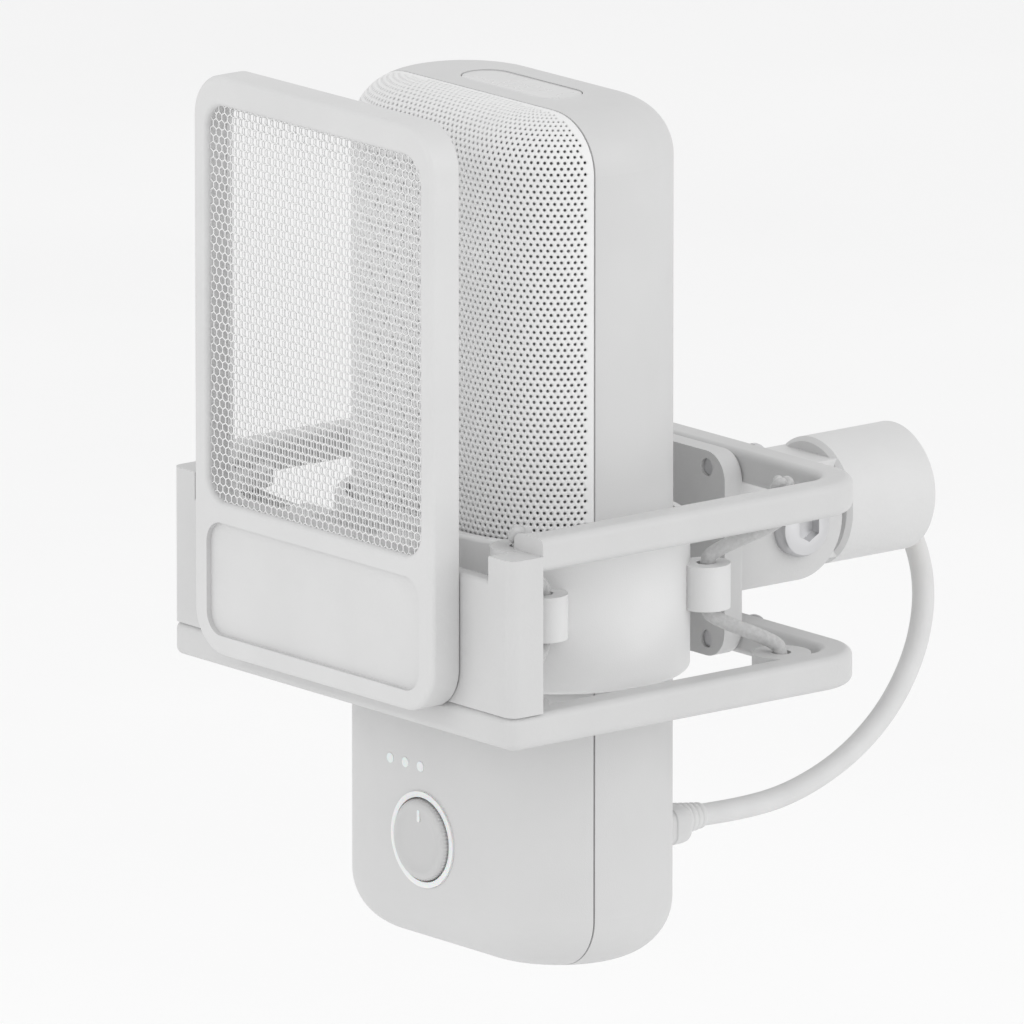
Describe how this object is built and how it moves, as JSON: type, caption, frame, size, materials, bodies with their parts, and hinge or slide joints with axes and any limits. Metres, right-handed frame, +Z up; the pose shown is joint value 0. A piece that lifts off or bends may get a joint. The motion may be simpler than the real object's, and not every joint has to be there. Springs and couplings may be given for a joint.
{
  "type": "condenser microphone",
  "caption": "Side-address condenser microphone in an elastic shock mount, with a flat mesh pop filter, a front dial, a tilting threaded neck and a thin USB lead.",
  "frame": {"origin": "centre of the mouth of the 5/8 inch threaded socket in the neck, where a boom arm screws in", "axes": "+Y out of the socket towards the boom arm, -Y the way the microphone's front faces, +Z up, +X to the right seen from the front"},
  "size_m": [0.1153, 0.1478, 0.1565],
  "materials": {
    "shell_plastic": "fine satin moulding",
    "grille_steel": "satin powder coat",
    "foam": "open-cell foam",
    "touch_plastic": "semi-gloss",
    "dial_plastic": "satin",
    "light_diffuser": "milky",
    "frame_metal": "satin powder coat",
    "neck_metal": "satin powder coat",
    "thread_brass": "machined",
    "hardware_steel": "turned steel",
    "washer_plastic": "nylon",
    "knob_plastic": "fine texture",
    "filter_metal": "satin powder coat",
    "filter_mesh": "fine perforated steel",
    "cradle_plastic": "satin",
    "soft_rubber": "matte",
    "elastic_fabric": "braided sleeve",
    "tie_fabric": "hook-and-loop strap",
    "cable_jacket": "soft matte jacket",
    "plug_plastic": "fine texture",
    "plug_steel": "plated steel",
    "dark_plastic": "moulded",
    "circuit_board": "solder mask",
    "chassis_steel": "stamped steel",
    "capsule_brass": "turned brass",
    "diaphragm_film": "gold-sputtered film"
  },
  "bodies": {
    "arm_neck": {"neck": "neck_metal", "thread_insert": "thread_brass"},
    "shock_mount": {"rear_bracket": "frame_metal", "frame_bolts": "hardware_steel", "pivot_bolt": "hardware_steel", "pivot_washers": "washer_plastic", "upper_frame": "frame_metal", "lower_frame": "frame_metal", "front_plate": "frame_metal", "corner_posts": "frame_metal", "elastic_front_right": "elastic_fabric", "elastic_front_left": "elastic_fabric", "elastic_rear_right": "elastic_fabric", "elastic_rear_left": "elastic_fabric", "cable_tie": "tie_fabric"},
    "tilt_lock": {"tilt_knob": "knob_plastic", "knob_insert": "thread_brass"},
    "pop_filter": {"filter_frame": "filter_metal", "filter_mesh_front": "filter_mesh", "filter_mesh_rear": "filter_mesh", "filter_hooks": "filter_metal"},
    "microphone": {"cradle_sleeve": "cradle_plastic", "cradle_pads": "soft_rubber", "rear_housing": "shell_plastic", "front_cover": "shell_plastic", "front_grille": "grille_steel", "foam_liner": "foam", "touch_pad": "touch_plastic", "capsule_housing": "capsule_brass", "diaphragm": "diaphragm_film", "backplate": "capsule_brass", "capsule_saddle": "soft_rubber", "chassis": "chassis_steel", "main_board": "circuit_board", "preamp_board": "circuit_board", "io_board": "circuit_board", "encoder_body": "dark_plastic", "housing_screws": "hardware_steel", "usb_socket": "plug_steel", "headphone_jack": "dark_plastic", "light_ring": "light_diffuser", "indicator_lights": "light_diffuser", "cable_plug_tip": "plug_steel", "cable_plug": "plug_plastic", "strain_relief": "cable_jacket", "usb_cable": "cable_jacket", "cable_hank": "cable_jacket", "cable_tail": "cable_jacket", "far_strain_relief": "cable_jacket", "far_plug": "plug_plastic", "far_plug_shell": "plug_steel"},
    "dial_push": {"dial_plunger": "dark_plastic"},
    "dial": {"dial_knob": "dial_plastic", "dial_shaft": "hardware_steel"}
  },
  "joints": [
    {"name": "mount_tilt", "type": "hinge", "parent": "arm_neck", "child": "shock_mount", "pos_m": [0, -0.0335, 0], "axis": [1, 0, 0], "range_deg": [-45, 45]},
    {"name": "lock_turn", "type": "hinge", "parent": "shock_mount", "child": "tilt_lock", "pos_m": [0, -0.0335, 0], "axis": [1, 0, 0], "range_deg": [-180, 180]},
    {"name": "filter_lift", "type": "slide", "parent": "shock_mount", "child": "pop_filter", "axis": [0, 0, 1], "range_m": [0, 0.03]},
    {"name": "cradle_bounce", "type": "slide", "parent": "shock_mount", "child": "microphone", "axis": [0, 0, 1], "range_m": [-0.0025, 0.0025], "stiffness_N_per_m": 2600, "springref_m": 0.00107, "deforming": ["elastic_front_right", "elastic_front_left", "elastic_rear_right", "elastic_rear_left"]},
    {"name": "dial_press", "type": "slide", "parent": "microphone", "child": "dial_push", "axis": [0, 1, 0], "range_m": [0, 0.0006], "stiffness_N_per_m": 3000, "springref_m": -0.0003},
    {"name": "dial_turn", "type": "hinge", "parent": "dial_push", "child": "dial", "pos_m": [0, -0.108, -0.048], "axis": [0, 1, 0], "continuous": true}
  ]
}
